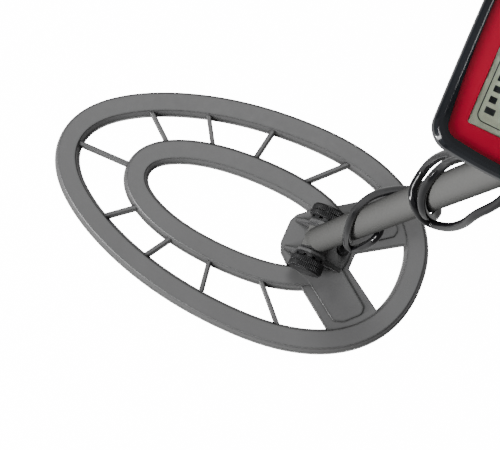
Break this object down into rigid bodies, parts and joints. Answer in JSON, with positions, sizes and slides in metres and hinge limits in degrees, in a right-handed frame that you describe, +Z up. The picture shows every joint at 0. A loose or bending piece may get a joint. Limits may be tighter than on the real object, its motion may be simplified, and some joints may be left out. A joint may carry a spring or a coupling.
{
  "type": "metal detector",
  "caption": "Hand-held metal detector with an open elliptical search coil on a tilting yoke, telescoping stem, S-shaped handle rod, display housing and forearm rest.",
  "frame": {"origin": "on the coil's flat lower face, straight under the tilt bolt", "axes": "+Z up, +X to the rear (towards the person who holds it), +Y to that person's right"},
  "size_m": [0.3563, 0.1648, 1.1143],
  "materials": {
    "coil_plastic": "satin moulded",
    "cover_plastic": "satin moulded",
    "copper": "enamelled wire",
    "black_rubber": "matte",
    "cable_jacket": "glossy",
    "black_nylon": "satin moulded",
    "stem_plastic": "satin",
    "painted_tube": "satin powder coat",
    "spring_steel": "zinc plated",
    "grip_foam": "closed-cell foam",
    "cup_plastic": "moulded grain",
    "pad_foam": "neoprene",
    "webbing": "woven",
    "housing_gloss": "glossy",
    "red_panel": "semi-gloss print",
    "clear_window": "clear",
    "display_glass": "display",
    "board_green": "solder mask",
    "speaker_black": "paper cone",
    "battery_wrap": "film",
    "plated_metal": "nickel",
    "key_rubber": "silicone"
  },
  "bodies": {
    "handle": {"handle_rod": "painted_tube", "middle_rod": "painted_tube", "lower_collet": "black_nylon", "upper_collet": "black_nylon", "hand_grip": "grip_foam", "rod_cap": "black_nylon", "front_bezel": "housing_gloss", "rear_shell": "housing_gloss", "face_panel": "red_panel", "display_lens": "clear_window", "display_module": "display_glass", "circuit_board": "board_green", "speaker": "speaker_black", "battery_tray": "black_nylon", "batteries": "battery_wrap", "headphone_jack": "black_nylon", "cable_socket": "plated_metal", "cable_plug": "black_rubber", "saddle_upper": "black_nylon", "saddle_lower": "black_nylon", "saddle_screws": "spring_steel", "cable_upper": "cable_jacket", "cable_tie": "webbing"},
    "stem": {"lower_stem": "stem_plastic", "stem_plug": "black_nylon", "friction_washers": "black_rubber", "cable_wound": "cable_jacket"},
    "coil": {"coil_shell": "coil_plastic", "coil_cover": "cover_plastic", "transmit_winding": "copper", "receive_winding": "copper", "coil_grommet": "black_rubber", "cable_tail": "cable_jacket", "toothed_collars": "black_nylon"},
    "bolt": {"tilt_bolt": "black_nylon", "bolt_knob": "black_nylon"},
    "lock_knob": {"lock_knob": "black_nylon"},
    "lower_collar": {"lower_collar": "black_nylon"},
    "upper_collar": {"upper_collar": "black_nylon"},
    "snap_button": {"snap_button": "spring_steel", "snap_spring": "spring_steel"},
    "arm_rest": {"arm_clamp": "black_nylon", "arm_cup": "cup_plastic", "arm_screws": "spring_steel", "arm_pad": "pad_foam", "arm_strap": "webbing"},
    "arm_knob": {"arm_knob": "black_nylon"},
    "battery_door": {"battery_door": "housing_gloss"},
    "plug_nut": {"plug_nut": "plated_metal"},
    "power_key": {"power_key": "key_rubber"},
    "mode_key": {"mode_key": "key_rubber"},
    "minus_key": {"minus_key": "key_rubber"},
    "plus_key": {"plus_key": "key_rubber"},
    "notch_key": {"notch_key": "key_rubber"},
    "pinpoint_key": {"pinpoint_key": "key_rubber"}
  },
  "joints": [
    {"name": "stem_slide", "type": "slide", "parent": "handle", "child": "stem", "axis": [-0.1994, 0, -0.9799], "range_m": [0, 0.13]},
    {"name": "coil_tilt", "type": "hinge", "parent": "stem", "child": "coil", "pos_m": [0, 0, 0.0297], "axis": [0, 1, 0], "range_deg": [-76, 90]},
    {"name": "bolt_turn", "type": "hinge", "parent": "coil", "child": "bolt", "pos_m": [0, 0, 0.0297], "axis": [0, 1, 0], "continuous": true},
    {"name": "lock_knob_turn", "type": "hinge", "parent": "coil", "child": "lock_knob", "pos_m": [0, 0, 0.0297], "axis": [0, 1, 0], "continuous": true},
    {"name": "lower_collar_twist", "type": "hinge", "parent": "handle", "child": "lower_collar", "pos_m": [0.0931, 0, 0.48733], "axis": [0.1994, 0, 0.9799], "range_deg": [0, 120]},
    {"name": "upper_collar_twist", "type": "hinge", "parent": "handle", "child": "upper_collar", "pos_m": [0.11264, 0, 0.58336], "axis": [0.1994, 0, 0.9799], "range_deg": [0, 120]},
    {"name": "snap_button_press", "type": "slide", "parent": "handle", "child": "snap_button", "axis": [-0.9799, 0, 0.1994], "range_m": [0, 0.003], "stiffness_N_per_m": 400, "springref_m": -0.001},
    {"name": "arm_rest_slide", "type": "slide", "parent": "handle", "child": "arm_rest", "axis": [0.1994, 0, 0.9799], "range_m": [-0.05, 0.02]},
    {"name": "arm_knob_turn", "type": "hinge", "parent": "arm_rest", "child": "arm_knob", "pos_m": [0.07414, 0, 1.01214], "axis": [0.9799, 0, -0.1994], "continuous": true},
    {"name": "battery_door_slide", "type": "slide", "parent": "handle", "child": "battery_door", "axis": [0, -1, 0], "range_m": [0, 0.056]},
    {"name": "plug_nut_turn", "type": "hinge", "parent": "handle", "child": "plug_nut", "pos_m": [0.09276, 0.033, 0.62108], "axis": [0.1994, 0, 0.9799], "continuous": true},
    {"name": "power_key_press", "type": "slide", "parent": "handle", "child": "power_key", "axis": [-0.1994, 0, -0.9799], "range_m": [0, 0.001], "stiffness_N_per_m": 150, "springref_m": -0.0004},
    {"name": "mode_key_press", "type": "slide", "parent": "handle", "child": "mode_key", "axis": [-0.1994, 0, -0.9799], "range_m": [0, 0.001], "stiffness_N_per_m": 150, "springref_m": -0.0004},
    {"name": "minus_key_press", "type": "slide", "parent": "handle", "child": "minus_key", "axis": [-0.1994, 0, -0.9799], "range_m": [0, 0.001], "stiffness_N_per_m": 150, "springref_m": -0.0004},
    {"name": "plus_key_press", "type": "slide", "parent": "handle", "child": "plus_key", "axis": [-0.1994, 0, -0.9799], "range_m": [0, 0.001], "stiffness_N_per_m": 150, "springref_m": -0.0004},
    {"name": "notch_key_press", "type": "slide", "parent": "handle", "child": "notch_key", "axis": [-0.1994, 0, -0.9799], "range_m": [0, 0.001], "stiffness_N_per_m": 150, "springref_m": -0.0004},
    {"name": "pinpoint_key_press", "type": "slide", "parent": "handle", "child": "pinpoint_key", "axis": [-0.1994, 0, -0.9799], "range_m": [0, 0.001], "stiffness_N_per_m": 150, "springref_m": -0.0004}
  ]
}
